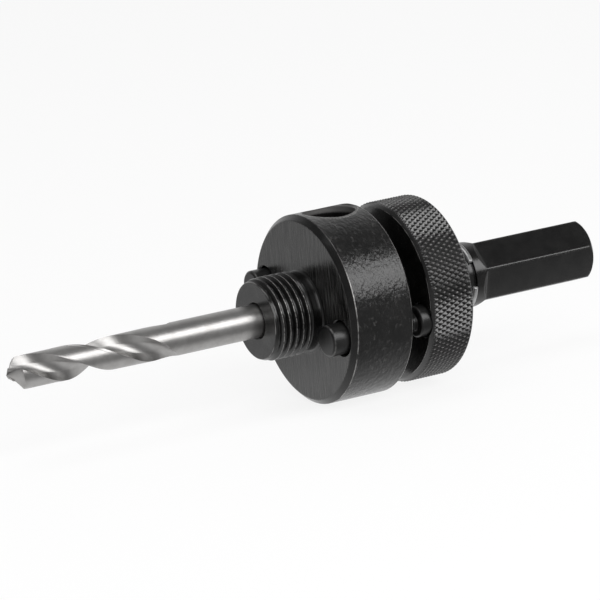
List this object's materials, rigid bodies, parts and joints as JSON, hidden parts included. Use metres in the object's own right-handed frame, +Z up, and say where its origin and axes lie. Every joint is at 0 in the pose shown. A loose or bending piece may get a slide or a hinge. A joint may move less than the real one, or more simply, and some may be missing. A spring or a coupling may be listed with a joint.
{
  "type": "hole saw arbor",
  "caption": "Arbor that carries a large hole saw on a threaded nose, with drive pins on a sliding knurled collar, a pilot drill and a hex shank.",
  "frame": {"origin": "on the axis of the arbor, in the plane of the round body's front face, where the saw's back seats", "axes": "+X along the axis towards the end of the hex shank, so that the drill points to -X; +Z up, along the hole of the clamping screw, with the arbor lying on the rims of its body and collar"},
  "size_m": [0.1254, 0.0364, 0.0364],
  "materials": {
    "blackened_steel": "black oxide on turned steel, satin to glossy, with bright worn edges",
    "ground_steel": "bright ground high-speed steel",
    "screw_steel": "black oxide",
    "collar_steel": "black oxide on a diamond knurl, lighter on its crests",
    "pin_steel": "dark hardened steel, glossy",
    "spring_steel": "oiled spring steel wire"
  },
  "bodies": {
    "arbor": {"arbor_body": "blackened_steel", "pilot_drill": "ground_steel", "drill_set_screw": "screw_steel", "retaining_ring": "spring_steel"},
    "collar": {"drive_collar": "collar_steel", "drive_pin_1": "pin_steel", "drive_pin_2": "pin_steel"}
  },
  "joints": [
    {"name": "collar_slide", "type": "slide", "parent": "arbor", "child": "collar", "axis": [1, 0, 0], "range_m": [-0.0044, 0.0067]}
  ]
}
